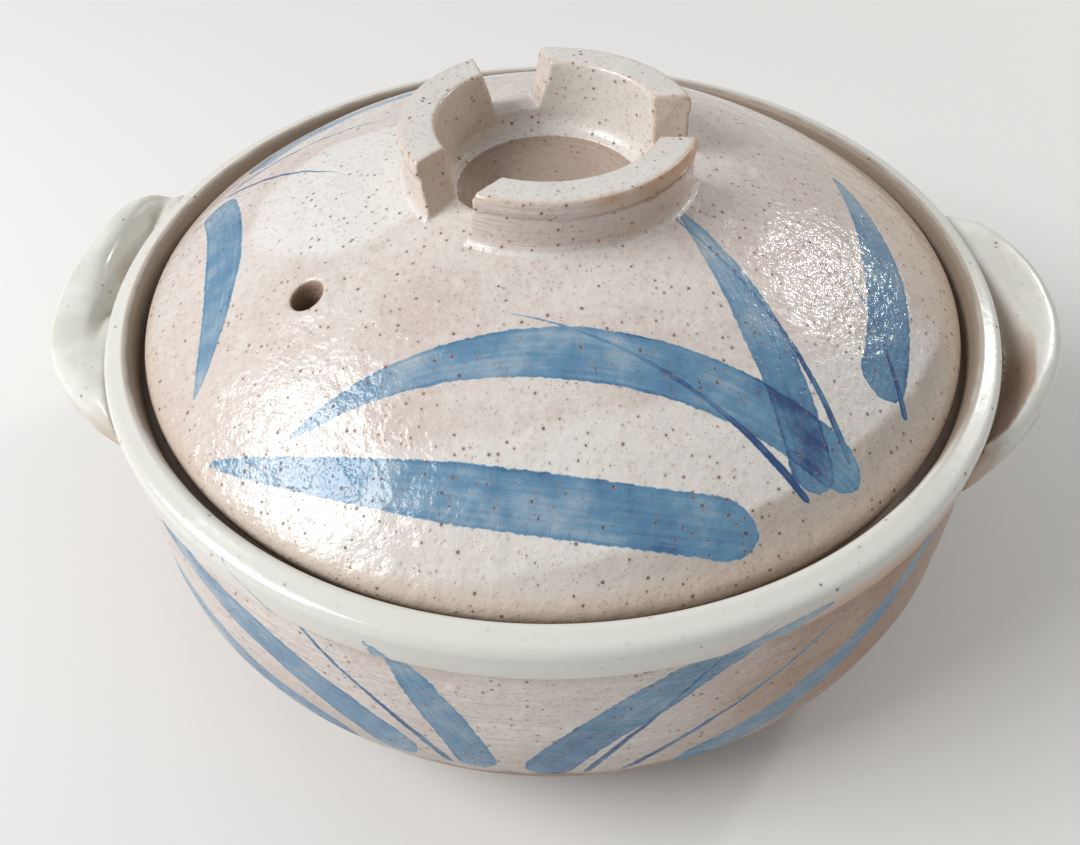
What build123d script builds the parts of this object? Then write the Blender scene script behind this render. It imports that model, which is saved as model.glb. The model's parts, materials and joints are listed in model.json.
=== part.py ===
from build123d import *

import os
from math import asin, cos, degrees, radians, sin

# A lidded clay cooking pot, in millimetres. The table is z = 0, everything thrown is round about the Z
# axis, and the handles lie along X. The lid stands on a ledge inside the bowl's lip.

# Bowl, outside
pot_height = 107.3
rim_radius = 142.6
belly_bulge = 0.8
belly_height_share = 0.429
foot_radius_share = 0.589
foot_height = 3.0
foot_ring_width = 9.0
foot_recess = 2.5
lip_height = 15.8
lip_overhang = 1.7
lip_roll = 2.4
lip_slope_drop = 2.3

# Bowl, inside
wall = 8.0
floor_thickness = 8.5
floor_radius_share = 0.519
lip_thickness = 8.6
lip_lean = 1.2
ledge_depth = 12.0
ledge_width = 11.8
ledge_thickness = 7.5
ledge_root_height = 12.0

# Softened edges of the bowl
shoulder_round = 3.6
crest_round = 2.4
roll_round = 1.4
ledge_round = 1.6
ledge_root_round = 7.0
foot_round = 0.8

# Handles: a clay strap bent round an arc, with one end flush with the lip and the other end lower. The
# stations run from the upper end to the lower one: angles are in degrees about the arc's centre, and
# a tilt is positive where the strap leans down towards the bowl. The shares are of the strap's sizes,
# and the two hand-formed handles differ in their reach and rise.
handle_stand = 21.9
handle_arc_radius = 57.5
handle_drop = 15.3
right_handle_azimuth = -4.5
left_handle_azimuth = 184.5
strap_width = 16.0
strap_thickness = 15.0
strap_rise = 6.0
strap_angles = (76, 46, 18, -12, -42, -76)
strap_tilts = (-4, -12, -14, -10, 6, 18)
strap_width_shares = (1.9, 1.8, 1.5, 1.06, 0.96, 1.6)
strap_thickness_shares = (1.3, 1.1, 1.0, 1.0, 1.15, 1.8)
strap_round_share = 0.38
right_reach_shares = (1.0, 1.1, 1.07, 1.01, 1.02, 1.18)
right_rise_shares = (0.2, 0.3, 0.15, -0.1, -0.4, -1.7)
left_reach_shares = (1.12, 1.05, 1.026, 1.046, 1.14, 0.99)
left_rise_shares = (0.1, 0.1, 0.0, 0.15, 0.5, 0.2)

# Lid
lid_gap = 3.2
lid_edge_height = 5.7
lid_edge_lean = 1.3
lid_edge_round = 2.2
crown_rise = 53.6
crown_drop_share = 0.515
shoulder_radius_share = 0.803
seat_width = 8.0
under_wall = 9.0
under_radius_share = 0.642
under_edge_height = 6.2
under_edge_inset = 3.0

# Knob: a ring with three notches, standing on the lid, with its collar in a round recess
knob_rise = 12.0
knob_radius = 43.7
knob_wall = 11.0
knob_waist = 0.7
knob_flare = 2.6
knob_flare_height = 4.0
knob_edge_round = 1.3
collar_wall = 3.0
recess_depth = 10.9
recess_skin = 6.5
recess_taper = 1.5
notch_top_width = 22.0
notch_floor_width = 15.0
notch_azimuths = (2, 111, 231)

# Steam hole
steam_diameter = 9.0
steam_radius_share = 0.623
steam_azimuth = 216.0
steam_edge_round = 0.8

# Cutting tools run past what they cut by this much
overrun = 30.0

# Heights and radii that follow from the sizes above
crease_height = pot_height - lip_height
crease_radius = rim_radius - lip_overhang
belly_radius = rim_radius + belly_bulge
belly_height = pot_height * belly_height_share
foot_radius = rim_radius * foot_radius_share
floor_radius = rim_radius * floor_radius_share
lip_inner_radius = rim_radius - lip_thickness
lip_foot_radius = lip_inner_radius - lip_lean
ledge_height = pot_height - ledge_depth
ledge_radius = lip_foot_radius - ledge_width
ledge_underside = ledge_height - ledge_thickness
ledge_root = ledge_underside - ledge_root_height
ledge_root_radius = crease_radius - wall
inner_floor = foot_recess + floor_thickness
inner_radius = belly_radius - wall
handle_height = pot_height - handle_drop
handle_reach = rim_radius + handle_stand
lid_radius = lip_inner_radius - lid_gap
shoulder_radius = lid_radius * shoulder_radius_share
crown_height = ledge_height + crown_rise
crown_drop = crown_rise * crown_drop_share
crown_radius = (shoulder_radius**2 + crown_drop**2) / (2 * crown_drop)
crown_centre = crown_height - crown_radius
crown_slope = asin(shoulder_radius / crown_radius)
lid_foot_radius = lid_radius - lid_edge_lean
seat_inner_radius = lid_foot_radius - seat_width
recess_floor = crown_height - recess_depth
under_height = recess_floor - recess_skin
under_radius = lid_radius * under_radius_share
steam_radius = lid_radius * steam_radius_share
knob_height = crown_height + knob_rise
knob_inner_radius = knob_radius - knob_wall
collar_inner_radius = knob_inner_radius - recess_taper
collar_outer_radius = collar_inner_radius + collar_wall
knob_foot_radius = knob_radius + knob_flare


def crown_z(radius):
    """Height of the lid's crown at a radius."""
    return crown_centre + crown_radius * cos(asin(radius / crown_radius))


def round_corners(profile, corners):
    """Rounds named corners of a sketch, each given as a point and a radius."""
    for point, radius in corners:
        fillet(profile.vertices().sort_by_distance(point)[:1], radius)


# The bowl's outside as a full block. The bowl is hollowed out of it, and the handles are cut to it.
belly_top = (belly_radius, belly_height)
crease = (crease_radius, crease_height)
lip_roll_corner = (rim_radius, crease_height + lip_roll)
lip_shoulder = (rim_radius, pot_height - lip_slope_drop)
lip_crest = (lip_inner_radius, pot_height)

with BuildPart() as bowl_block:
    with BuildSketch(Plane.XZ) as block_profile:
        with BuildLine():
            Polyline(
                (0, foot_recess),
                (foot_radius - foot_ring_width - foot_recess, foot_recess),
                (foot_radius - foot_ring_width, 0),
                (foot_radius, 0),
                (foot_radius, foot_height),
            )
            EllipticalCenterArc(
                (foot_radius, belly_height),
                belly_radius - foot_radius,
                belly_height - foot_height,
                start_angle=270,
                arc_size=90,
            )
            TangentArc(belly_top, crease, tangent=(0, 1))
            Polyline(crease, lip_roll_corner, lip_shoulder, lip_crest, (0, pot_height), (0, foot_recess))
        make_face()
        round_corners(
            block_profile,
            (
                ((foot_radius, 0), foot_round),
                (lip_roll_corner, roll_round),
                (lip_shoulder, shoulder_round),
            ),
        )
    revolve(axis=Axis.Z)

# Bowl: the block with its round hollow, the lid's ledge and the lip above it
ledge_corner = (lip_foot_radius, ledge_height)
ledge_edge = (ledge_radius, ledge_height)
ledge_lower_edge = (ledge_radius, ledge_underside)
ledge_root_corner = (ledge_root_radius, ledge_root)

with BuildPart() as pot_body:
    add(bowl_block.part)
    with BuildSketch(Plane.XZ) as hollow_profile:
        with BuildLine():
            Line((0, inner_floor), (floor_radius, inner_floor))
            EllipticalCenterArc(
                (floor_radius, belly_height),
                inner_radius - floor_radius,
                belly_height - inner_floor,
                start_angle=270,
                arc_size=90,
            )
            Polyline(
                (inner_radius, belly_height),
                ledge_root_corner,
                ledge_lower_edge,
                ledge_edge,
                ledge_corner,
                lip_crest,
                (lip_inner_radius, pot_height + overrun),
                (0, pot_height + overrun),
                (0, inner_floor),
            )
        make_face()
        round_corners(
            hollow_profile,
            (
                (ledge_root_corner, ledge_root_round),
                (ledge_lower_edge, ledge_round),
                (ledge_edge, ledge_round),
                (ledge_corner, ledge_round),
            ),
        )
    revolve(axis=Axis.Z, mode=Mode.SUBTRACT)
    fillet(pot_body.edges().group_by(Axis.Z)[-1], crest_round)
pot_body.part.label = "pot_body"
export_parts = [pot_body.part]

# Handles: straps lofted through their stations, turned to their places and cut to the bowl
arc_centre = handle_reach - handle_arc_radius


def strap_plane(angle, tilt, width, reach, rise):
    """Plane across a strap at a station, with its X axis pointing out from the arc's centre."""
    across = Vector(cos(radians(angle)), sin(radians(angle)), 0)
    along = Vector(-sin(radians(angle)), cos(radians(angle)), 0)
    middle = Vector(arc_centre, 0, handle_height + rise) + across * (reach - width / 2)
    return Plane(origin=middle, x_dir=across, z_dir=along).rotated((0, 0, -tilt))


def handle_strap(reach_shares, rise_shares):
    """A strap for a handle on the +X side."""
    with BuildPart() as strap:
        for angle, tilt, width_share, thickness_share, reach_share, rise_share in zip(
            strap_angles,
            strap_tilts,
            strap_width_shares,
            strap_thickness_shares,
            reach_shares,
            rise_shares,
        ):
            width = strap_width * width_share
            thickness = strap_thickness * thickness_share
            reach = handle_arc_radius * reach_share
            with BuildSketch(strap_plane(angle, tilt, width, reach, strap_rise * rise_share)):
                RectangleRounded(width, thickness, thickness * strap_round_share)
        loft()
    return strap.part


with BuildPart() as right_handle:
    add(handle_strap(right_reach_shares, right_rise_shares), rotation=(0, 0, right_handle_azimuth))
    add(bowl_block.part, mode=Mode.SUBTRACT)
right_handle.part.label = "right_handle"
export_parts.append(right_handle.part)

with BuildPart() as left_handle:
    add(handle_strap(left_reach_shares, left_rise_shares), rotation=(0, 0, left_handle_azimuth))
    add(bowl_block.part, mode=Mode.SUBTRACT)
left_handle.part.label = "left_handle"
export_parts.append(left_handle.part)

# The lid's outside as a full block. The lid is hollowed out of it, and the knob is cut to it.
lid_edge = (lid_radius, ledge_height + lid_edge_height)
crown_end = (shoulder_radius, crown_z(shoulder_radius))

with BuildPart() as lid_block:
    with BuildSketch(Plane.XZ) as crown_profile:
        with BuildLine():
            Polyline((0, crown_height), (0, ledge_height), (lid_foot_radius, ledge_height), lid_edge)
            TangentArc(crown_end, lid_edge, tangent=(cos(crown_slope), -sin(crown_slope)))
            CenterArc((0, crown_centre), crown_radius, 90 - degrees(crown_slope), degrees(crown_slope))
        make_face()
        round_corners(crown_profile, ((lid_edge, lid_edge_round),))
    revolve(axis=Axis.Z)

# Lid: a turned dome with a flat seat, a hollow underside, a round recess on top and the steam hole
under_shoulder = (under_radius, crown_z(under_radius) - under_wall)
under_edge = (seat_inner_radius - under_edge_inset, ledge_height + under_edge_height)
steam_place = (
    steam_radius * cos(radians(steam_azimuth)),
    steam_radius * sin(radians(steam_azimuth)),
)

with BuildPart() as lid_dome:
    add(lid_block.part)
    with BuildSketch(Plane.XY.offset(recess_floor)):
        Circle(collar_outer_radius)
    extrude(amount=overrun, mode=Mode.SUBTRACT)
    with BuildSketch(Plane.XZ):
        with BuildLine():
            under_crown = TangentArc((0, under_height), under_shoulder, tangent=(1, 0))
            TangentArc(under_shoulder, under_edge, tangent=under_crown % 1)
            Polyline(
                under_edge,
                (seat_inner_radius, ledge_height),
                (seat_inner_radius, ledge_height - overrun),
                (0, ledge_height - overrun),
                (0, under_height),
            )
        make_face()
    revolve(axis=Axis.Z, mode=Mode.SUBTRACT)
    with BuildSketch(Plane.XY.offset(ledge_height)):
        with Locations(steam_place):
            Circle(steam_diameter / 2)
    extrude(amount=crown_height - ledge_height, mode=Mode.SUBTRACT)
    steam_mouth = (*steam_place, crown_z(steam_radius))
    rims = lid_dome.edges().filter_by(GeomType.LINE, reverse=True).sort_by_distance(steam_mouth)
    fillet(rims[:1], steam_edge_round)
lid_dome.part.label = "lid_dome"
export_parts.append(lid_dome.part)

# Knob: the notches reach down to the lid's crown and leave the collar whole below it
knob_foot = (knob_foot_radius, crown_z(knob_foot_radius) - knob_flare)
knob_waist_point = (knob_radius - knob_waist, crown_z(knob_radius) + knob_flare_height)
knob_top_outer = (knob_radius, knob_height)
knob_top_inner = (knob_inner_radius, knob_height)
notch_floor = crown_z(knob_foot_radius)

with BuildPart() as notches:
    for azimuth in notch_azimuths:
        with BuildSketch(Plane.YZ.rotated((0, 0, azimuth))):
            with BuildLine():
                Polyline(
                    (-notch_floor_width / 2, notch_floor),
                    (notch_floor_width / 2, notch_floor),
                    (notch_top_width / 2, knob_height),
                    (notch_top_width / 2, knob_height + overrun),
                    (-notch_top_width / 2, knob_height + overrun),
                    (-notch_top_width / 2, knob_height),
                    close=True,
                )
            make_face()
        extrude(amount=knob_radius + overrun)
    add(lid_block.part, mode=Mode.SUBTRACT)

with BuildPart() as knob_ring:
    with BuildSketch(Plane.XZ) as ring_profile:
        with BuildLine():
            TangentArc(knob_waist_point, knob_foot, tangent=(0, -1))
            Polyline(
                knob_foot,
                (collar_outer_radius, knob_foot[1]),
                (collar_outer_radius, recess_floor),
                (collar_inner_radius, recess_floor),
                knob_top_inner,
                knob_top_outer,
                knob_waist_point,
            )
        make_face()
        round_corners(
            ring_profile,
            ((knob_top_outer, knob_edge_round), (knob_top_inner, knob_edge_round)),
        )
    revolve(axis=Axis.Z)
    add(lid_dome.part, mode=Mode.SUBTRACT)
    add(notches.part, mode=Mode.SUBTRACT)
knob_ring.part.label = "knob_ring"
export_parts.append(knob_ring.part)

os.makedirs("parts", exist_ok=True)
for piece in export_parts:
    export_step(piece, f"parts/{piece.label}.step")
    size = piece.bounding_box().size
    print(f"{piece.label}: {piece.volume / 1000:.1f} cm3, {size.X:.1f} x {size.Y:.1f} x {size.Z:.1f} mm")
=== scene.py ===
# %% [markdown]
# # A donabe, a lidded clay pot for cooking at the table
#
# The pot is thrown on a wheel: a round bowl with a ledge inside its lip, and a domed lid that stands on
# the ledge. Two bent straps of clay are stuck on as handles, and a notched ring is stuck on the lid as
# its knob. A pale glaze with iron specks covers everything but the bottom, over cobalt brushwork.
#
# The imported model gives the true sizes. This scene builds softer, finer copies of its five pieces round
# the same axis, and spends most of its effort on the glaze. All lengths are written in millimetres and
# turned into metres once, by the value below.

import json
from math import ceil, cos, pi, radians, sin, sqrt, tan

import bmesh
import bpy
import numpy as np
from mathutils import Matrix, Vector, noise
from mathutils.geometry import interpolate_bezier

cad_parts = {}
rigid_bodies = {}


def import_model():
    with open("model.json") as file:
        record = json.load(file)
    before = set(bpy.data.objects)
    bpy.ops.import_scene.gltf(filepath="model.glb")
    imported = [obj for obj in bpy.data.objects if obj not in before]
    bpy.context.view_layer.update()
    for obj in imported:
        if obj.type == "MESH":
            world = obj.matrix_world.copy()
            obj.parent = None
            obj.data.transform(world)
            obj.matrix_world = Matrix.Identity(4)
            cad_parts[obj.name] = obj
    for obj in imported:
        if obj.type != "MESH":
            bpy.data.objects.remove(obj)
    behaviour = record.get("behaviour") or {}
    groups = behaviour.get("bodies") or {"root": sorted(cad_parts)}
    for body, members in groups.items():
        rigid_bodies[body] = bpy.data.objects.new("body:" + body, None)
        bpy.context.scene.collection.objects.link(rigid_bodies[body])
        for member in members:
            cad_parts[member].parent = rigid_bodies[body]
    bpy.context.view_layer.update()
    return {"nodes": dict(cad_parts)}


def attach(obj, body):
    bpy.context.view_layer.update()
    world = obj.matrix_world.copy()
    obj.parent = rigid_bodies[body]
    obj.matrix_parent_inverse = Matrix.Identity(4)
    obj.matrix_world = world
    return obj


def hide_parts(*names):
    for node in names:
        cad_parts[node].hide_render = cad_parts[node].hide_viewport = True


for leftover in list(bpy.data.objects):
    bpy.data.objects.remove(leftover)

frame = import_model()
MM = 0.001
print("nodes:", ", ".join(sorted(frame["nodes"])))

# %% [markdown]
# ## The camera
#
# The photograph looks down on the pot from close by. The camera's place, its turn and its lens were worked
# out from the circles of the lip, the lid's edge and the knob, so it is written here as plain numbers:
# where it stands, how far it is turned and tilted, and a slight roll.

# %% The camera
LENS = 32.09
SENSOR_WIDTH = 36.0
EYE = Vector((11.1, -253.7, 303.8)) * MM
TURN, TILT, ROLL = radians(-3.494), radians(47.02), radians(-1.228)

forward = Vector((sin(TURN) * cos(TILT), cos(TURN) * cos(TILT), -sin(TILT)))
level = Vector((cos(TURN), -sin(TURN), 0))
above = level.cross(forward)
across = cos(ROLL) * level + sin(ROLL) * above
upward = cos(ROLL) * above - sin(ROLL) * level

camera_data = bpy.data.cameras.new("camera")
camera_data.lens = LENS
camera_data.sensor_width = SENSOR_WIDTH
camera = bpy.data.objects.new("camera", camera_data)
bpy.context.scene.collection.objects.link(camera)
camera.matrix_world = Matrix.Translation(EYE) @ Matrix((across, upward, -forward)).transposed().to_4x4()
bpy.context.scene.camera = camera
print("camera at", [round(value, 3) for value in EYE])

# %% [markdown]
# ## Floor and light
#
# The floor is plain and pale. The highlights on the lid say where the light comes from: a large window at
# the left, which whitens that side of the glaze, and a small one low at the back right, with a faint glow
# round it, which the pitted glaze breaks into sparks. An even sky fills the shadows, and looks paler where
# the camera sees it.

# %% Floor and light
FLOOR_SIZE = 6.0
FLOOR_COLOUR = (0.74, 0.73, 0.71, 1)
FLOOR_ROUGHNESS = 0.8
SKY_COLOUR = (0.96, 0.98, 1.0, 1)
SKY_STRENGTH = 0.42
BACKDROP_COLOUR = (0.9, 0.9, 0.9, 1)
DAYLIGHT = (0.99, 0.99, 1.0)
SUNLIGHT = (1.0, 0.98, 0.95)
AIM = Vector((0, 0, 0.1))


def panel(name, azimuth, elevation, distance, size, power, colour):
    """A flat light aimed at the pot, placed by angles in degrees and a distance in metres."""
    data = bpy.data.lights.new(name, "AREA")
    data.shape = "RECTANGLE"
    data.size, data.size_y = size
    data.energy = power
    data.color = colour
    light = bpy.data.objects.new(name, data)
    bpy.context.scene.collection.objects.link(light)
    way = Vector(
        (
            cos(radians(azimuth)) * cos(radians(elevation)),
            sin(radians(azimuth)) * cos(radians(elevation)),
            sin(radians(elevation)),
        )
    )
    light.location = AIM + way * distance
    light.rotation_mode = "QUATERNION"
    light.rotation_quaternion = way.to_track_quat("Z", "Y")
    print("light:", name, power, "W")


for name, azimuth, elevation, distance, size, power, colour in (
    ("large_window", -164, 40, 1.6, (1.0, 0.7), 25, DAYLIGHT),
    ("small_window", 38, 28, 1.5, (0.12, 0.09), 3.6, SUNLIGHT),
    ("small_window_glow", 36, 30, 1.55, (0.6, 0.5), 2.6, SUNLIGHT),
):
    panel(name, azimuth, elevation, distance, size, power, colour)

world = bpy.data.worlds.new("sky")
bpy.context.scene.world = world
world.use_nodes = True
sky = world.node_tree.nodes["Background"]
sky.inputs["Color"].default_value = SKY_COLOUR
sky.inputs["Strength"].default_value = SKY_STRENGTH
backdrop = world.node_tree.nodes.new("ShaderNodeBackground")
backdrop.inputs["Color"].default_value = BACKDROP_COLOUR
camera_ray = world.node_tree.nodes.new("ShaderNodeLightPath").outputs["Is Camera Ray"]
choice = world.node_tree.nodes.new("ShaderNodeMixShader")
world.node_tree.links.new(camera_ray, choice.inputs["Fac"])
world.node_tree.links.new(sky.outputs["Background"], choice.inputs[1])
world.node_tree.links.new(backdrop.outputs["Background"], choice.inputs[2])
world.node_tree.links.new(choice.outputs["Shader"], world.node_tree.nodes["World Output"].inputs["Surface"])
bpy.context.scene.view_settings.view_transform = "Standard"

floor_mesh = bpy.data.meshes.new("floor")
sheet = bmesh.new()
bmesh.ops.create_grid(sheet, x_segments=1, y_segments=1, size=FLOOR_SIZE / 2)
sheet.to_mesh(floor_mesh)
sheet.free()
floor = bpy.data.objects.new("floor", floor_mesh)
bpy.context.scene.collection.objects.link(floor)
floor_finish = bpy.data.materials.new("pale_floor")
floor_finish.use_nodes = True
floor_shader = floor_finish.node_tree.nodes["Principled BSDF"]
floor_shader.inputs["Base Color"].default_value = FLOOR_COLOUR
floor_shader.inputs["Roughness"].default_value = FLOOR_ROUGHNESS
floor_mesh.materials.append(floor_finish)

# %% [markdown]
# ## Turned shapes
#
# A potter works round an axis, and so does the spin operator: it takes an outline in the XZ plane and
# turns it once round. An outline is a chain of straight lines and soft corners. A soft corner is a Bezier
# span whose handles point at the corner, with a length that makes it nearly a true arc. The step sets how
# far apart the points lie, so a surface that will carry paint can be given more of them.

# %% Outlines and the wheel
MERGE_DISTANCE = 0.00001


class Outline:
    """An outline in millimetres, drawn with straight lines and soft corners at an even spacing."""

    def __init__(self, start, spacing):
        self.points = [Vector(start)]
        self.spacing = spacing

    def line(self, *ends):
        """Straight lines to one end after another."""
        for end in ends:
            start, end = self.points[-1], Vector(end)
            steps = max(1, ceil((end - start).length / self.spacing))
            self.points += [start.lerp(end, (step + 1) / steps) for step in range(steps)]
        return self

    def bend(self, corner, end):
        """A curve to end that leaves towards the corner and arrives from it."""
        start, corner, end = self.points[-1], Vector(corner), Vector(end)
        turn = (corner - start).angle(end - corner)
        reach = 4 / 3 * tan(turn / 4) / tan(turn / 2)
        steps = max(3, ceil(((corner - start).length + (end - corner).length) * 0.9 / self.spacing))
        span = interpolate_bezier(
            start.to_3d(),
            start.lerp(corner, reach).to_3d(),
            end.lerp(corner, reach).to_3d(),
            end.to_3d(),
            steps + 1,
        )
        self.points += [point.to_2d() for point in span[1:]]
        return self

    def soft(self, corner, radius, towards):
        """A rounded corner on the way from here towards another point."""
        start, corner, towards = self.points[-1], Vector(corner), Vector(towards)
        turn = (corner - start).angle(towards - corner)
        inset = radius * tan(turn / 2)
        self.line(corner + (start - corner).normalized() * inset)
        spacing, self.spacing = self.spacing, min(self.spacing, radius / 3)
        self.bend(corner, corner + (towards - corner).normalized() * inset)
        self.spacing = spacing
        return self

    def step(self, spacing):
        """A new distance between the points that follow."""
        self.spacing = spacing
        return self


def spun(name, outline, turns, closed=False):
    """A mesh from an outline turned once round the Z axis."""
    wheel = bmesh.new()
    chain = [wheel.verts.new((point.x * MM, 0, point.y * MM)) for point in outline.points]
    edges = [wheel.edges.new(pair) for pair in zip(chain, chain[1:])]
    if closed:
        edges.append(wheel.edges.new((chain[-1], chain[0])))
    bmesh.ops.spin(
        wheel,
        geom=chain + edges,
        cent=(0, 0, 0),
        axis=(0, 0, 1),
        angle=2 * pi,
        steps=turns,
        use_merge=True,
    )
    bmesh.ops.remove_doubles(wheel, verts=wheel.verts, dist=MERGE_DISTANCE)
    bmesh.ops.recalc_face_normals(wheel, faces=wheel.faces)
    for face in wheel.faces:
        face.smooth = True
    mesh = bpy.data.meshes.new(name)
    wheel.to_mesh(mesh)
    wheel.free()
    print(name, "turned:", len(mesh.vertices), "vertices")
    return mesh


def show(name, mesh):
    """An object for a mesh, at the origin."""
    made = bpy.data.objects.new(name, mesh)
    bpy.context.scene.collection.objects.link(made)
    return made


def settle(made):
    """Applies an object's modifiers, so that its mesh is final."""
    ready = made.evaluated_get(bpy.context.evaluated_depsgraph_get())
    mesh = bpy.data.meshes.new_from_object(ready)
    made.modifiers.clear()
    made.data = mesh
    for face in mesh.polygons:
        face.use_smooth = True


def places(mesh):
    """A mesh's vertices as rows of x, y and z in millimetres."""
    values = np.zeros(len(mesh.vertices) * 3)
    mesh.vertices.foreach_get("co", values)
    return values.reshape(-1, 3) / MM


def move_to(mesh, spots):
    """Puts a mesh's vertices at rows of places in millimetres."""
    mesh.vertices.foreach_set("co", (spots * MM).ravel())
    mesh.update()


# %% [markdown]
# ## The bowl
#
# The bowl's wall swells from a turned foot to an almost upright side. Below the lip runs a crease, and
# inside the lip is the ledge that carries the lid. The outside is drawn with closely spaced points because
# the painting is stored on them; the inside, which the lid hides, has fewer.

# %% The bowl
BOWL_TURNS = 420
RIM_RADIUS = 142.6
RIM_HEIGHT = 107.3
CREASE_HEIGHT = 91.5
LEDGE_HEIGHT = 95.3
LEDGE_INNER = 121
FLOOR_HEIGHT = 11

bowl_outline = (
    Outline((0, 2.5), 6)
    .line((72.5, 2.5), (75, 0))
    .step(2)
    .soft((84, 0), 0.8, (84, 3))
    .line((84, 3))
    .step(1.7)
    .bend((143.4, 3), (143.4, 46))
    .bend((143.4, 68.7), (140.9, CREASE_HEIGHT))
    .step(1)
    .soft((142.55, 93.9), 1.4, (RIM_RADIUS, 105))
    .soft((RIM_RADIUS, 105), 3.6, (134, RIM_HEIGHT))
    .soft((134, RIM_HEIGHT), 2.4, (132.8, LEDGE_HEIGHT))
    .soft((132.8, LEDGE_HEIGHT), 1.6, (LEDGE_INNER, LEDGE_HEIGHT))
    .step(3)
    .soft((LEDGE_INNER, LEDGE_HEIGHT), 1.6, (LEDGE_INNER, 87.8))
    .soft((LEDGE_INNER, 87.8), 1.6, (132.9, 75.8))
    .soft((132.9, 75.8), 7, (135.4, 46))
    .line((135.4, 46))
    .step(5)
    .bend((135.4, FLOOR_HEIGHT), (74, FLOOR_HEIGHT))
    .line((0, FLOOR_HEIGHT))
)
bowl = show("bowl", spun("bowl", bowl_outline, BOWL_TURNS))

# %% [markdown]
# ## The lid
#
# The lid is a dome with a flat seat. Under the knob it has a round recess, whose wall the knob's ring
# hides except in the three notches.

# %% The lid
LID_TURNS = 420
CROWN_CENTRE = -64.7
CROWN_RADIUS = 213.6
RECESS_RADIUS = 33.4
RECESS_FLOOR = 138
SHOULDER = 105
RIM_REACH = 15.5


def crown(radius):
    """The height of the dome at a radius."""
    return CROWN_CENTRE + sqrt(CROWN_RADIUS**2 - radius**2)


def crown_corner(inner, outer):
    """Where the dome's tangents at two radii meet."""
    slopes = [-radius / (crown(radius) - CROWN_CENTRE) for radius in (inner, outer)]
    across = (crown(outer) - crown(inner) + slopes[0] * inner - slopes[1] * outer) / (slopes[0] - slopes[1])
    return (across, crown(inner) + slopes[0] * (across - inner))


shoulder_slope = SHOULDER / (crown(SHOULDER) - CROWN_CENTRE)
rim_corner = (SHOULDER + RIM_REACH, crown(SHOULDER) - shoulder_slope * RIM_REACH)

lid_outline = (
    Outline((0, RECESS_FLOOR), 4)
    .soft((RECESS_RADIUS, RECESS_FLOOR), 1.5, (RECESS_RADIUS, 146))
    .step(1.2)
    .soft((RECESS_RADIUS, crown(RECESS_RADIUS)), 0.5, (40, crown(40)))
    .line((34.4, crown(34.4)))
    .step(1.6)
    .bend(crown_corner(34.4, SHOULDER), (SHOULDER, crown(SHOULDER)))
    .bend(rim_corner, (129.4, 104.5))
    .step(0.8)
    .bend((130.9, 102.6), (130.6, 100.4))
    .line((129.5, 95.3))
    .step(4)
    .line((121.5, 95.3), (118.5, 101.5))
    .bend((107, 118), (84, 122.7))
    .bend((40, 131.5), (0, 131.5))
)
lid = show("lid", spun("lid", lid_outline, LID_TURNS))

# %% [markdown]
# ## The steam hole
#
# The steam hole is opened by taking faces away on both sides of the dome and bridging the gaps with a stack
# of rings, which gives it the soft rim of a wiped hole. Each ring is given by how far it lies outside the
# hole, and how far it lies below the dome or above its underside.

# %% The steam hole
STEAM_SPOT = (-65.9, -47.9)
STEAM_RADIUS = 4.5
STEAM_UNDER = 123.0
HOLE_SIDES = 48
CLEARED_ABOVE, CLEARED_BELOW = 3.4, 5.5
UPPER_RINGS = ((1.6, 0.0), (0.9, 0.12), (0.35, 0.5), (0.05, 1.2), (0.0, 2.2))
LOWER_RINGS = ((0.0, 1.5), (0.3, 0.5), (1.2, 0.0))


def ring(work, spot, radius, height):
    """Edges of a circle; the height may follow the dome."""
    made = bmesh.ops.create_circle(work, segments=HOLE_SIDES, radius=radius * MM)
    for vert in made["verts"]:
        vert.co += Vector(spot).to_3d() * MM
        plan = vert.co.to_2d().length / MM
        vert.co.z = (height(plan) if callable(height) else height) * MM
    return list({edge for vert in made["verts"] for edge in vert.link_edges})


def pierce(mesh, spot, radius):
    """Opens a round hole through the dome, with a soft rim above and below."""
    work = bmesh.new()
    work.from_mesh(mesh)
    middle = Vector(spot) * MM
    loops = []
    for clear, upper in ((radius + CLEARED_ABOVE, True), (radius + CLEARED_BELOW, False)):
        gone = [
            face
            for face in work.faces
            if (face.calc_center_median().to_2d() - middle).length < clear * MM
            and (face.normal.z > 0) == upper
        ]
        bmesh.ops.delete(work, geom=gone, context="FACES")
        loops.append([edge for edge in work.edges if edge.is_boundary and edge not in sum(loops, [])])
    rings = [loops[0]]
    for grow, drop in UPPER_RINGS:
        rings.append(ring(work, spot, radius + grow, lambda plan, drop=drop: crown(plan) - drop))
    for grow, rise in LOWER_RINGS:
        rings.append(ring(work, spot, radius + grow, STEAM_UNDER + rise))
    rings.append(loops[1])
    for pair in zip(rings, rings[1:]):
        bmesh.ops.bridge_loops(work, edges=pair[0] + pair[1])
    bmesh.ops.recalc_face_normals(work, faces=work.faces)
    for face in work.faces:
        face.smooth = True
    open_edges = sum(edge.is_boundary for edge in work.edges)
    work.to_mesh(mesh)
    work.free()
    print("pierced, open edges left:", open_edges)


pierce(lid.data, STEAM_SPOT, STEAM_RADIUS)
print("lid pierced:", len(lid.data.vertices), "vertices")

# %% [markdown]
# ## The knob
#
# The knob is a low ring with a flared foot, cut by three notches that open upwards. The ring is turned and
# the notches are cut down to the dome by wedges, whose underside slopes as the dome does. A voxel remesh
# with smoothing then rounds every edge a little, as a wet sponge does. The knob's foot sinks into the dome,
# so the join stays closed.

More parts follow.
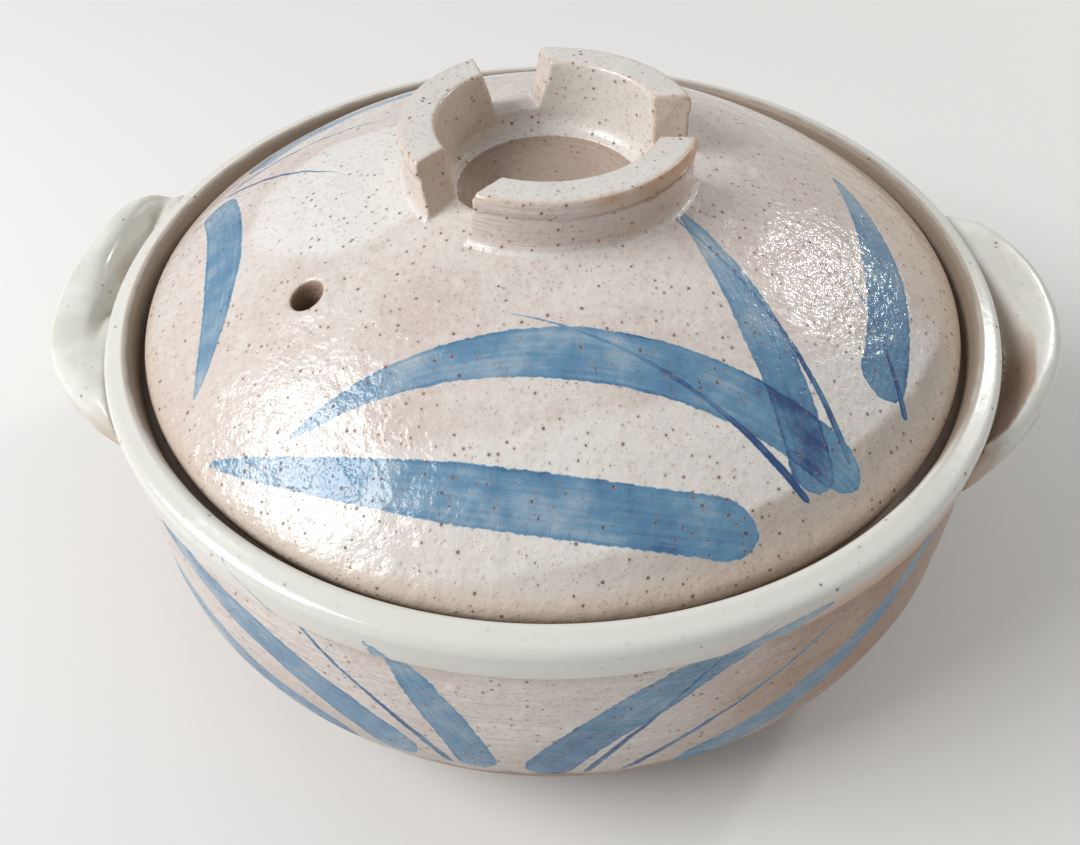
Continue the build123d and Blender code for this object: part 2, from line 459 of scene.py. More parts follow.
# %% The knob
KNOB_TURNS = 180
KNOB_TOP = 160.9
KNOB_INNER, KNOB_OUTER = 32, 47
NOTCHES = (2, 111, 231)
NOTCH_INNER, NOTCH_OUTER = 20, 60
NOTCH_HALF_TOP, NOTCH_HALF_FLOOR = 11.9, 7.2
NOTCH_SINK = 0.3
ABOVE_KNOB = 3

knob_outline = (
    Outline((27.6, 137.6), 1.2)
    .line((27.8, 138.1))
    .bend((31.5, 138.4), (32.1, 143))
    .line((32.2, 147))
    .soft((32.7, KNOB_TOP), 1.2, (43.7, KNOB_TOP))
    .soft((43.7, KNOB_TOP), 1.2, (43.9, 156))
    .line((43.9, 156.9), (43.3, 156.2), (43.1, 147.6))
    .bend((43.1, 144.4), (46.9, 143.2))
    .line((46, 139.5))
    .line((33, 137.6))
)
knob = show("knob", spun("knob", knob_outline, KNOB_TURNS, closed=True))

floor_slope = (crown(KNOB_OUTER) - crown(KNOB_INNER)) / (KNOB_OUTER - KNOB_INNER)
wedges = bmesh.new()
for azimuth in NOTCHES:
    made = bmesh.ops.create_cube(wedges, size=1)
    for corner in made["verts"]:
        high = corner.co.z > 0
        half = NOTCH_HALF_TOP if high else NOTCH_HALF_FLOOR
        reach = NOTCH_OUTER if corner.co.x > 0 else NOTCH_INNER
        notch_floor = crown(KNOB_INNER) + floor_slope * (reach - KNOB_INNER) - NOTCH_SINK
        height = KNOB_TOP + ABOVE_KNOB if high else notch_floor
        corner.co = Vector((reach, half if corner.co.y > 0 else -half, height)) * MM
    turn = Matrix.Rotation(radians(azimuth), 3, "Z")
    bmesh.ops.rotate(wedges, verts=made["verts"], cent=(0, 0, 0), matrix=turn)
bmesh.ops.recalc_face_normals(wedges, faces=wedges.faces)
wedge_mesh = bpy.data.meshes.new("wedges")
wedges.to_mesh(wedge_mesh)
wedges.free()
cutter = show("wedges", wedge_mesh)
cut = knob.modifiers.new("cut", "BOOLEAN")
cut.operation = "DIFFERENCE"
cut.solver = "EXACT"
cut.object = cutter
settle(knob)
bpy.data.objects.remove(cutter)


def soften(piece, voxel, passes):
    """Rounds a piece's edges: a fine voxel remesh, then smoothing."""
    remesh = piece.modifiers.new("remesh", "REMESH")
    remesh.mode = "VOXEL"
    remesh.voxel_size = voxel * MM
    smooth = piece.modifiers.new("smooth", "SMOOTH")
    smooth.iterations = passes
    smooth.factor = 0.5
    settle(piece)
    print(piece.name, "softened:", len(piece.data.vertices), "vertices")


soften(knob, voxel=0.6, passes=8)

# %% [markdown]
# ## The handles
#
# Each handle is a strap of clay bent round and pressed onto the bowl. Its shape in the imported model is
# right but its edges are too exact, so a copy of that mesh is welded, remeshed and smoothed.
#
# Then a finger runs along the join. On the right handle it leaves a broad hollow that falls from the outer
# roll to the lip and is deepest in front: each row of HOLLOW gives a place from front to back, the depth
# there, and how far in from the outer edge the hollow starts. On the left handle it leaves a narrow furrow
# beside the lip and pushes the roll outside it up a little. At last the back half of both is raised, but
# for the strip beside the lip, which sinks.

# %% The handles
WELD_DISTANCE = 0.000005
EAR_CENTRE, EAR_TURN = 107, 4.5
EAR_HEIGHT = 90
EAR_SLICES = 30
UPPER_RISE = 5
HOLLOW = ((-80, 9, 2), (-58, 10, 3), (-40, 10, 6), (-22, 7, 10), (0, 3, 17), (30, 1.5, 21), (80, 0.6, 24))
HOLLOW_SLOPE = 6
FURROW_RADIUS, FURROW_DEPTH, FURROW_WIDTH = 148, 4.4, 2.8
FURROW_FRONT, FURROW_BACK, FURROW_FADE = -34, 52, 20
ROLL_RADIUS, ROLL_HEIGHT, ROLL_WIDTH = 157, 1.4, 5
RAISED, SUNK, RAISE_RAMP = 2.6, 1.2, 30
BESIDE_LIP, BESIDE_LIP_WIDTH = 144, 9


def copy_of(node, name):
    """A welded copy of a CAD node's mesh."""
    weld = bmesh.new()
    weld.from_mesh(frame["nodes"][node].data)
    bmesh.ops.remove_doubles(weld, verts=weld.verts, dist=WELD_DISTANCE)
    mesh = bpy.data.meshes.new(name)
    weld.to_mesh(mesh)
    weld.free()
    return show(name, mesh)


def strap_chart(ear, side):
    """How far in from its handle's outer edge each vertex lies, and how far it is on the upper side.

    The strap is cut into slices like a cake; side is 1 for the right handle and -1 for the left.
    """
    spots = places(ear.data)
    turn = radians(-side * EAR_TURN)
    centre = side * EAR_CENTRE * np.array([cos(turn), sin(turn)])
    arm = spots[:, :2] - centre
    reach = np.hypot(arm[:, 0], arm[:, 1])
    angle = np.arctan2(arm[:, 1], side * arm[:, 0])
    borders = np.linspace(-pi / 2, pi / 2, EAR_SLICES + 1)
    middle = (borders[1:] + borders[:-1]) / 2
    slot = np.clip(np.digitize(angle, borders) - 1, 0, EAR_SLICES - 1)
    slices = [slot == index for index in range(EAR_SLICES)]
    farthest = np.array([reach[part].max(initial=0) for part in slices])
    farthest[1:-1] = (farthest[:-2] + farthest[1:-1] + farthest[2:]) / 3
    heights = np.array([spots[part, 2].mean() if part.any() else EAR_HEIGHT for part in slices])
    in_from_edge = np.interp(angle, middle, farthest) - reach
    upper = np.clip((spots[:, 2] - np.interp(angle, middle, heights)) / UPPER_RISE, 0, 1)
    return in_from_edge, upper


def press_hollow(ear):
    """The right handle: a hollow that falls from the outer roll to the lip, deepest in front."""
    in_from_edge, upper = strap_chart(ear, 1)
    spots = places(ear.data)
    along, depth, start = zip(*HOLLOW)
    fall = np.clip((in_from_edge - np.interp(spots[:, 1], along, start)) / HOLLOW_SLOPE, 0, 1)
    spots[:, 2] -= upper * fall * fall * (3 - 2 * fall) * np.interp(spots[:, 1], along, depth)
    move_to(ear.data, spots)


def press_furrow(ear):
    """The left handle: a narrow furrow beside the lip, and a fuller roll outside it."""
    _, upper = strap_chart(ear, -1)
    spots = places(ear.data)
    radius = np.hypot(spots[:, 0], spots[:, 1])
    fade = np.clip((spots[:, 1] - FURROW_FRONT) / FURROW_FADE, 0, 1)
    fade = fade * np.clip((FURROW_BACK - spots[:, 1]) / FURROW_FADE, 0, 1)
    furrow = FURROW_DEPTH * np.exp(-(((radius - FURROW_RADIUS) / FURROW_WIDTH) ** 2))
    roll = ROLL_HEIGHT * np.exp(-(((radius - ROLL_RADIUS) / ROLL_WIDTH) ** 2))
    spots[:, 2] -= upper * fade * (furrow - roll)
    move_to(ear.data, spots)


left_ear = copy_of("left_handle", "left_ear")
right_ear = copy_of("right_handle", "right_ear")
for ear, press in ((left_ear, press_furrow), (right_ear, press_hollow)):
    soften(ear, voxel=0.9, passes=1)
    press(ear)
    soften(ear, voxel=0.75, passes=9)
    spots = places(ear.data)
    clear = np.clip((np.hypot(spots[:, 0], spots[:, 1]) - BESIDE_LIP) / BESIDE_LIP_WIDTH, 0, 1)
    spots[:, 2] += np.clip(spots[:, 1] / RAISE_RAMP, 0, 1) * (RAISED * clear - SUNK)
    move_to(ear.data, spots)

# %% [markdown]
# ## A hand-made surface
#
# Nothing thrown is perfectly round. Fingers leave shallow rings that wander up and down, the wall leans in
# and out by a fraction of a millimetre, and the crease under the lip is ragged where clay was dragged over
# it. All of it goes inwards, so the pot stays inside its true size.

# %% Unevenness
LEAN_DEPTH = 0.35
RING_DEPTH = 0.55
LIP_RING_DEPTH = 0.12
DRAG_DEPTH = 1.6
LID_RING_DEPTH = 0.25
LID_WAVE_DEPTH = 0.2


def waver(spots, size, depth=1):
    """Smooth noise between about -1 and 1 at rows of places, with lumps of this size."""
    scaled = spots / np.array(size)
    return np.array([noise.fractal(Vector(row), 1.0, 2.0, depth) for row in scaled.tolist()])


def normals_of(mesh):
    """A mesh's vertex normals as rows."""
    values = np.zeros(len(mesh.vertices) * 3)
    mesh.vertex_normals.foreach_get("vector", values)
    return values.reshape(-1, 3)


def press_in(mesh, depths):
    """Moves every vertex inwards by its depth in millimetres."""
    move_to(mesh, places(mesh) - normals_of(mesh) * depths[:, None])


def unit_range(values, low, high):
    """0 at low, 1 at high and straight between."""
    return np.clip((values - low) / (high - low), 0, 1)


spots = places(bowl.data)
radius = np.hypot(spots[:, 0], spots[:, 1])
height = spots[:, 2]
outer = unit_range(radius, 134, 137) * unit_range(height, 6, 14)
below_lip = 1 - unit_range(height, CREASE_HEIGHT - 2, CREASE_HEIGHT + 1)
rings = 0.5 + 0.5 * waver(spots, (70, 70, 4.2))
lean = 0.5 + 0.5 * waver(spots, (60, 60, 40))
drag = np.clip(waver(spots + 50, (16, 16, 3.2), 3), 0, 1) * np.exp(-(((height - CREASE_HEIGHT + 4) / 5) ** 2))
marks = below_lip * (rings * RING_DEPTH + drag * DRAG_DEPTH)
press_in(bowl.data, outer * (lean * LEAN_DEPTH + marks + LIP_RING_DEPTH * rings))

spots = places(lid.data)
radius = np.hypot(spots[:, 0], spots[:, 1])
dome = unit_range(radius, 46, 52) * (1 - unit_range(radius, 124, 128)) * (spots[:, 2] > 99)
away = np.hypot(spots[:, 0] - STEAM_SPOT[0], spots[:, 1] - STEAM_SPOT[1])
dome = dome * unit_range(away, 8, 12)
around = np.stack([spots[:, 0] / 80, spots[:, 1] / 80, radius / 6], 1)
lid_rings = LID_RING_DEPTH + LID_RING_DEPTH * waver(around, (1, 1, 1))
press_in(lid.data, dome * (lid_rings + LID_WAVE_DEPTH + LID_WAVE_DEPTH * waver(spots, (28, 28, 28))))
print("bowl and lid made uneven")

# %% [markdown]
# ## Where edges are thin
#
# Glaze runs off sharp edges and pools in hollows, so the clay shows orange along every edge. The mesh can
# say where its edges are: a vertex that stands out from the average of its neighbours, taken over many
# passes, lies on an edge, and one that lies behind it sits in a hollow.

# %% Edges and hollows
FULL_EDGE = 0.5


def edge_heights(mesh, passes):
    """How far each vertex stands out from its smoothed surroundings, in millimetres."""
    spots = places(mesh)
    pairs = np.zeros(len(mesh.edges) * 2, dtype=np.int64)
    mesh.edges.foreach_get("vertices", pairs)
    ends = np.concatenate([pairs[0::2], pairs[1::2]])
    others = np.concatenate([pairs[1::2], pairs[0::2]])
    count = np.bincount(ends, minlength=len(spots)).clip(1)
    smooth = spots.copy()
    for _ in range(passes):
        sums = [np.bincount(ends, weights=smooth[others, axis], minlength=len(spots)) for axis in range(3)]
        smooth = np.stack(sums, 1) / count[:, None]
    return ((spots - smooth) * normals_of(mesh)).sum(1)


def store(mesh, name, rows):
    """Keeps a row of three values for each vertex under a name that a finish can read."""
    layer = mesh.attributes.new(name, "FLOAT_VECTOR", "POINT")
    layer.data.foreach_set("vector", rows.astype(np.float32).ravel())


for piece, passes in ((knob, 14), (left_ear, 10), (right_ear, 10)):
    spots = places(piece.data)
    outward = normals_of(piece.data)[:, :2]
    radial = spots[:, :2] / np.linalg.norm(spots[:, :2], axis=1)[:, None]
    edge = np.clip(edge_heights(piece.data, passes) / FULL_EDGE, -1, 1)
    facing = (outward * radial).sum(1)
    store(piece.data, "edge", np.stack([edge, facing, edge * 0], 1))
    store(piece.data, "way", normals_of(piece.data))
    print(piece.name, "vertices on an edge:", int((edge > 0.5).sum()))

# %% [markdown]
# ## Finishes written as formulas
#
# A glaze needs dozens of small sums, which are hard to read as nodes. The class Value wraps a socket so
# that sums of sockets can be written as Python expressions, and the class Finish holds one material and
# makes any other node with one method. Colours are written as they look, from 0 to 255.

# %% Values and finishes


def seen(red, green, blue):
    """A colour written as it looks, turned into the linear values that a shader needs."""
    shares = [level / 255 for level in (red, green, blue)]
    return (*[share / 12.92 if share < 0.04 else ((share + 0.055) / 1.055) ** 2.4 for share in shares], 1)


class Value:
    """A socket that can stand in a sum."""

    def __init__(self, finish, socket):
        self.finish = finish
        self.socket = socket

    def __add__(self, other):
        return self.finish.math("ADD", self, other)

    __radd__ = __add__

    def __mul__(self, other):
        return self.finish.math("MULTIPLY", self, other)

    __rmul__ = __mul__

    def __sub__(self, other):
        return self.finish.math("SUBTRACT", self, other)

    def __rsub__(self, other):
        return self.finish.math("SUBTRACT", other, self)

    def __truediv__(self, other):
        return self.finish.math("DIVIDE", self, other)

    def __abs__(self):
        return self.finish.math("ABSOLUTE", self)


class Finish:
    """A material whose pattern is written with values."""

    def __init__(self, name):
        self.material = bpy.data.materials.new(name)
        self.material.use_nodes = True
        self.tree = self.material.node_tree
        self.shader = self.tree.nodes["Principled BSDF"]

    def feed(self, socket, value):
        """Links a value to a socket, or writes a plain number or colour into it."""
        if isinstance(value, Value):
            self.tree.links.new(value.socket, socket)
        else:
            socket.default_value = value

    def node(self, kind, settings=None, inputs=None, output=0):
        """A new node with its settings and inputs; gives one of its outputs."""
        made = self.tree.nodes.new("ShaderNode" + kind)
        for key, value in (settings or {}).items():
            setattr(made, key, value)
        for key, value in (inputs or {}).items():
            self.feed(made.inputs[key], value)
        return Value(self, made.outputs[output])

    def math(self, operation, *values):
        return self.node("Math", {"operation": operation}, dict(enumerate(values)))

    def low(self, a, b):
        return self.math("MINIMUM", a, b)

    def high(self, a, b):
        return self.math("MAXIMUM", a, b)

    def spot(self):
        """Object coordinates in millimetres."""
        place = self.node("TexCoord", output="Object")
        return self.node("VectorMath", {"operation": "SCALE"}, {0: place, "Scale": 1 / MM})

    def parts(self, vector):
        return [self.node("SeparateXYZ", None, {0: vector}, axis) for axis in range(3)]

    def join(self, x, y, z):
        return self.node("CombineXYZ", None, {0: x, 1: y, 2: z})

    def distance(self, x, y, middle=(0, 0)):
        """How far a place in plan is from a middle."""
        place = self.join(x - middle[0], y - middle[1], 0)
        return self.node("VectorMath", {"operation": "LENGTH"}, {0: place}, "Value")

    def ease(self, value, start, end):
        """0 before start, 1 after end, and a soft step between."""
        return self.node(
            "MapRange",
            {"interpolation_type": "SMOOTHSTEP"},
            {"Value": value, "From Min": start, "From Max": end},
        )

    def mix(self, share, one, other):
        return self.node("Mix", {"data_type": "RGBA"}, {0: share, 6: one, 7: other}, 2)

    def cloud(self, spot, size, detail=2.0, rough=0.5):
        """Soft noise from 0 to 1 with lumps of about this size."""
        return self.node(
            "TexNoise", None, {"Vector": spot, "Scale": 1 / size, "Detail": detail, "Roughness": rough}
        )

    def stored(self, name):
        """The three values stored on the mesh under a name."""
        return self.parts(self.node("Attribute", {"attribute_name": name}, output="Vector"))

    def set(self, **sockets):
        for name, value in sockets.items():
            self.feed(self.shader.inputs[name.replace("_", " ")], value)


# %% [markdown]
# ## Brushwork as numbers on the mesh
#
# The bowl and lid carry cobalt brushwork in a common manner: tufts of arching leaves laid down with a wide
# soft brush, and a few stems drawn with its tip. A leaf leaves its root at a heading and turns steadily,
# so its root and four numbers describe it: heading, bend, length and width. For every vertex near a leaf
# the mesh stores what share of the way along it lies, how far to the side, and how far inside the edge.
# The glaze turns these numbers into pigment with crisp edges, and streaks that run the way the brush went.

# %% Leaves and stems
LEAF_POINTS = 60
MARGIN = 5
STEM_MARGIN = 2
NO_STROKE = -9.0
FAR = 999


def leaf_path(root, heading, bend, length):
    """Points and tangents of a path that leaves a root at a heading and turns by a bend, in degrees."""
    root = Vector(root)
    first, last = radians(heading), radians(heading + bend)
    middle = (first + last) / 2
    end = root + Vector((cos(middle), sin(middle))) * length
    start_grip = root + Vector((cos(first), sin(first))) * length / 3
    end_grip = end - Vector((cos(last), sin(last))) * length / 3
    grips = [point.to_3d() for point in (root, start_grip, end_grip, end)]
    points = np.array([point[:2] for point in interpolate_bezier(*grips, LEAF_POINTS)])
    tangents = np.gradient(points, axis=0)
    return points, tangents / np.linalg.norm(tangents, axis=1)[:, None]


def brush(chart, leaves, thin=False):
    """Stored rows for leaves or stems, which start round and blunt and end in a point."""
    blunt, point = (0.03, 0.9) if thin else (0.07, 0.5)
    rows = np.tile(np.array([0.0, 0.0, NO_STROKE]), (len(chart), 1))
    closest = np.full(len(chart), NO_STROKE)
    for root, heading, bend, length, width in leaves:
        points, tangents = leaf_path(root, heading, bend, length)
        low, high = points.min(0) - width - MARGIN, points.max(0) + width + MARGIN
        near = np.nonzero(((chart > low) & (chart < high)).all(1))[0]
        if not len(near):
            continue
        gaps = chart[near][:, None, :] - points[None, :, :]
        nearest = (gaps**2).sum(2).argmin(1)
        gap = gaps[np.arange(len(near)), nearest]
        tangent = tangents[nearest]
        ahead = (gap * tangent).sum(1)
        side = gap[:, 0] * tangent[:, 1] - gap[:, 1] * tangent[:, 0]
        share = nearest / (LEAF_POINTS - 1) + ahead / length
        start = np.sqrt(1 - (1 - (share / blunt).clip(0, 1)) ** 2)
        tip = ((1 - share) / point).clip(0, 1) ** 0.6
        half = width / 2 * np.minimum(start, tip)
        past = np.where((nearest == 0) | (nearest == LEAF_POINTS - 1), np.abs(ahead), 0)
        inside = half - np.hypot(side, past)
        keep = (inside > closest[near]) & (inside > (-STEM_MARGIN if thin else -MARGIN))
        chosen = near[keep]
        closest[chosen] = inside[keep]
        depth = np.where(past > 0, inside, half) if thin else inside
        rows[chosen] = np.stack([share, side, depth], 1)[keep]
    return rows


# %% [markdown]
# ## Where the leaves grow
#
# The lid is painted on its plan, and the bowl on its outside unrolled into a strip, with the distance round
# the lip across and the height up. A second set of leaves lies over the first, and where two overlap the
# blue gets darker.

# %% The painting
spots = places(lid.data)
lid_chart = np.where((spots[:, 2] > 99)[:, None], spots[:, :2], FAR)
store(lid.data, "wash", brush(lid_chart, (
    ((84, -92), 150, 58, 150, 15),
    ((92, -66), 68, 44, 92, 14),
    ((-108, 40), 50, -58, 96, 14),
)))
store(lid.data, "wash_over", brush(lid_chart, (
    ((56, -109), 184, -24, 148, 14),
    ((72, -97), 102, 26, 84, 13),
    ((-115, 20), -60, -38, 92, 13),
    ((46, 106), -20, -34, 74, 12),
)))
store(lid.data, "stem", brush(lid_chart, (
    ((70, -100), 138, 34, 92, 2.6),
    ((82, -88), 112, 34, 92, 2.4),
    ((100, -70), 96, 24, 52, 2.4),
    ((-112, 30), 24, -30, 62, 2.4),
    ((-114, 26), -10, -30, 58, 2.2),
), thin=True))

spots = places(bowl.data)
outward = normals_of(bowl.data)[:, :2]
facing = (outward * spots[:, :2]).sum(1) / np.hypot(spots[:, 0], spots[:, 1]).clip(1)
store(bowl.data, "wall", np.stack([facing, facing * 0, facing * 0], 1))
outside = (facing > 0.05) & (spots[:, 2] > 5)
turned = np.arctan2(spots[:, 0], -spots[:, 1]) * RIM_RADIUS
bowl_chart = np.where(outside[:, None], np.stack([turned, spots[:, 2]], 1), FAR)
store(bowl.data, "wash", brush(bowl_chart, (
    ((-34, 42), 132, 52, 112, 14),
    ((40, 38), 20, 16, 112, 12),
    ((300, 36), 120, 40, 90, 14),
)))
store(bowl.data, "wash_over", brush(bowl_chart, (
    ((2, 40), 66, -58, 98, 14),
    ((-52, 38), 164, 8, 112, 12),
    ((-14, 42), 104, 22, 64, 12),
    ((310, 36), 60, -40, 90, 13),
)))
store(bowl.data, "stem", brush(bowl_chart, (
    ((-22, 42), 122, 26, 92, 2.6),
    ((14, 40), 62, -22, 84, 2.4),
    ((24, 40), 42, -18, 100, 2.4),
), thin=True))
print("vertices that can carry paint:", int((lid_chart[:, 0] < FAR).sum()), "and", int(outside.sum()))

# %% [markdown]
# ## The glaze
#
# The glaze is a warm off-white that breaks into pinkish grey, with iron specks burnt through it in two
# sizes. Every speck sits in a small pit, and the surface between is uneven like orange peel, so highlights
# break up. One recipe makes all of it: each piece gives it a colour, how bare the clay is, how many specks
# it has, how deep the orange peel is, and where the glaze blistered.

# %% The glaze recipe
CREAM = seen(213, 206, 198)
PINK = seen(203, 189, 180)
WHITE = seen(221, 219, 213)
TAN = seen(174, 161, 149)
BEIGE = seen(202, 180, 158)
LIP_WHITE = seen(214, 214, 206)
COBALT_PALE = seen(134, 160, 178)
COBALT = seen(90, 132, 162)
COBALT_DEEP = seen(46, 72, 116)
SPECK = seen(74, 58, 50)
RUST = seen(150, 100, 66)
BARE_CLAY = seen(154, 130, 113)
DARK_CLAY = seen(172, 155, 140)
INNER_CLAY = seen(138, 124, 110)
EDGE_ORANGE = seen(190, 144, 102)
SIDE_BROWN_AND_SHADE = seen(160, 120, 90)
CREASE_BROWN = seen(150, 112, 82)
BEAD_BROWN = seen(150, 118, 92)
ROOT_SHADE_BROWN = seen(156, 126, 100)
BELT_BROWN = seen(128, 98, 78)
KNOB_GREY = seen(210, 211, 206)
KNOB_SHADE_TAN = seen(192, 168, 146)
KNOB_END_SHADE = seen(190, 168, 150)
HANDLE_GREY = seen(203, 201, 191)
HOLLOW_SHADE_GREY = seen(152, 143, 128)


def speck_mask(finish, spot, cell, smallest, largest, share):
    """Round specks, their halos and a shade for each: one in each Voronoi cell, in a share of the cells."""
    look = {"Vector": spot, "Scale": 1 / cell}
    gap = finish.node("TexVoronoi", None, look, "Distance") * cell
    luck = finish.node("TexVoronoi", None, look, "Color")
    size, chance, shade = finish.parts(luck)
    radius = smallest + (largest - smallest) * size * size
    present = finish.math("LESS_THAN", chance, share)
    core = finish.ease(radius - gap, -0.06, 0.2) * present
    halo = finish.ease(radius - gap, -0.8, 0.2) * present
    return core, halo, shade * 0.8


def pigment(finish, spot, name, ragged, thin=False):
    """How strong the cobalt of a stored set of strokes is, from 0 to 1."""
    along, side, inside = finish.stored(name)
    depth = inside - abs(side) if thin else inside
    cover = finish.ease(depth + (finish.cloud(spot, 1.8, 2) - 0.5) * ragged, 0, 0.5)
    streaks = finish.cloud(finish.join(along * 5, side / 1.3, 0), 1.0, 2, 0.6)
    load = finish.ease(along, 0.1, 1.0)
    pool = 1 - finish.ease(depth, 0.3, 1.6)
    blotch = finish.cloud(spot, 15, 3, 0.6)
    return cover * (0.66 - 0.26 * load + 0.5 * (streaks - 0.5) + 0.16 * pool + 1.15 * (blotch - 0.5))


def glaze(name, coat, painted=False, gloss=0.18):
    """A finish for one piece. coat(finish, spot) gives the look of its ground."""
    finish = Finish(name)
    spot = finish.spot()
    look = {"bare": 0.0, "specks": 1.0, "peel": 1.0, "relief": 0.0, "blisters": 0.0} | coat(finish, spot)
    colour = look["colour"]
    if painted:
        under = pigment(finish, spot, "wash", 1.2)
        over = pigment(finish, spot, "wash_over", 1.2)
        stem = pigment(finish, spot, "stem", 0.6, thin=True)
        blue = finish.high(finish.high(under, over) + finish.low(under, over) * 0.25, stem * 1.25)
        colour = finish.mix(finish.ease(blue, 0.0, 0.36) * 0.94, colour, COBALT_PALE)
        colour = finish.mix(finish.ease(blue, 0.3, 0.7), colour, COBALT)
        colour = finish.mix(finish.ease(blue, 0.66, 1.1), colour, COBALT_DEEP)
    big, big_halo, shade = speck_mask(finish, spot, 2.2, 0.14, 0.56, look["specks"] * 0.85)
    small, _, _ = speck_mask(finish, spot, 0.95, 0.08, 0.3, look["specks"] * 0.9)
    colour = finish.mix(big_halo * 0.2, colour, RUST)
    iron = finish.mix(shade * 0.7, SPECK, RUST)
    colour = finish.mix(finish.low(big * 0.8 + small * 0.6, 0.85), colour, iron)
    ripple = finish.cloud(spot, 6.5, 3, 0.5)
    dimple = finish.cloud(spot, 2.4, 2, 0.6)
    grain = finish.cloud(spot, 0.8, 2, 0.6)
    skin = (ripple - 0.5) * 0.7 + (dimple - 0.5) * (0.16 + look["blisters"] * 0.42) + (grain - 0.5) * 0.05
    height = skin * look["peel"] - big * 0.15 - small * 0.06
    height = height + look["relief"] + (grain - 0.5) * look["bare"] * 0.3
    rough = gloss + (ripple - 0.5) * 0.06 + big * 0.2 + look["bare"] * 0.45 - look["blisters"] * 0.07
    bump = finish.node("Bump", None, {"Strength": 1.0, "Distance": MM, "Height": height})
    finish.set(Base_Color=colour, Roughness=rough, Normal=bump)
    return finish.material


def mottled(finish, spot):
    """The ground of the glaze: cream that breaks into pink."""
    broad = finish.cloud(spot, 40, 3, 0.6)
    fine = finish.cloud(spot, 2.6, 3, 0.65)
    return finish.mix(finish.ease(broad * 0.6 + fine * 0.4, 0.38, 0.6), PINK, CREAM)


# %% [markdown]
# ## The lid's coat
#
# Where the glaze was poured twice it is whiter or greyer, with soft borders that are parts of large circles.
# The clay is bare round the steam hole, on the seat and underside, and in the recess under the knob. In two
# patches near the lid's edge the glaze blistered, and its bumps catch the light as sparks.

# %% The lid's coat
RIGHT_BLISTERS = (86, -32)
FRONT_BLISTERS = (-66, -90)
BLISTERS_INNER, BLISTERS_OUTER = 14, 30


def lid_coat(finish, spot):
    """Pours on the lid: a white band round the front, a white patch at the left and tan past the band."""
    x, y, z = finish.parts(spot)
    wobble = (finish.cloud(spot, 26, 2) - 0.5) * 7
    colour = mottled(finish, spot)
    band = finish.ease(finish.distance(x, y, (-46, 131)) + wobble, 225, 230)
    colour = finish.mix(band * 0.55, colour, WHITE)
    patch = 1 - finish.ease(finish.distance(x, y, (-60, -2)) + wobble, 30, 35)
    colour = finish.mix(patch * 0.8, colour, WHITE)
    past = finish.ease(finish.distance(x, y, (-22, 29)) + wobble * 0.5, 152, 154.5)
    colour = finish.mix(past * (0.3 + 0.6 * finish.ease(x, -10, 65)), colour, TAN)
    right = finish.ease(x * 0.9 + y * 0.35 + wobble, 78, 108)
    colour = finish.mix(right * 0.75, colour, BEIGE)
    radius = finish.distance(x, y)
    colour = finish.mix(finish.ease(radius, 124, 130) * 0.5, colour, BEIGE)
    recess = (1 - finish.ease(radius, 31.5, 33.5)) * finish.ease(z, 134, 136)
    turned = finish.cloud(finish.join(radius / 1.4, z, 0), 1.0, 2)
    colour = finish.mix(recess * (0.65 + 0.3 * turned), colour, BARE_CLAY)
    hole = 1 - finish.ease(finish.distance(x, y, STEAM_SPOT), STEAM_RADIUS + 0.2, STEAM_RADIUS + 0.9)
    under = 1 - finish.ease(z, 99, 100.5)
    bare = finish.high(hole, under)
    colour = finish.mix(bare, colour, BARE_CLAY)
    patches = [
        1 - finish.ease(finish.distance(x, y, middle) + wobble, BLISTERS_INNER, BLISTERS_OUTER)
        for middle in (RIGHT_BLISTERS, FRONT_BLISTERS)
    ]
    blisters = finish.high(patches[0], patches[1] * 0.6)
    return {"colour": colour, "bare": bare, "relief": recess * (turned - 0.5) * 0.5, "blisters": blisters}
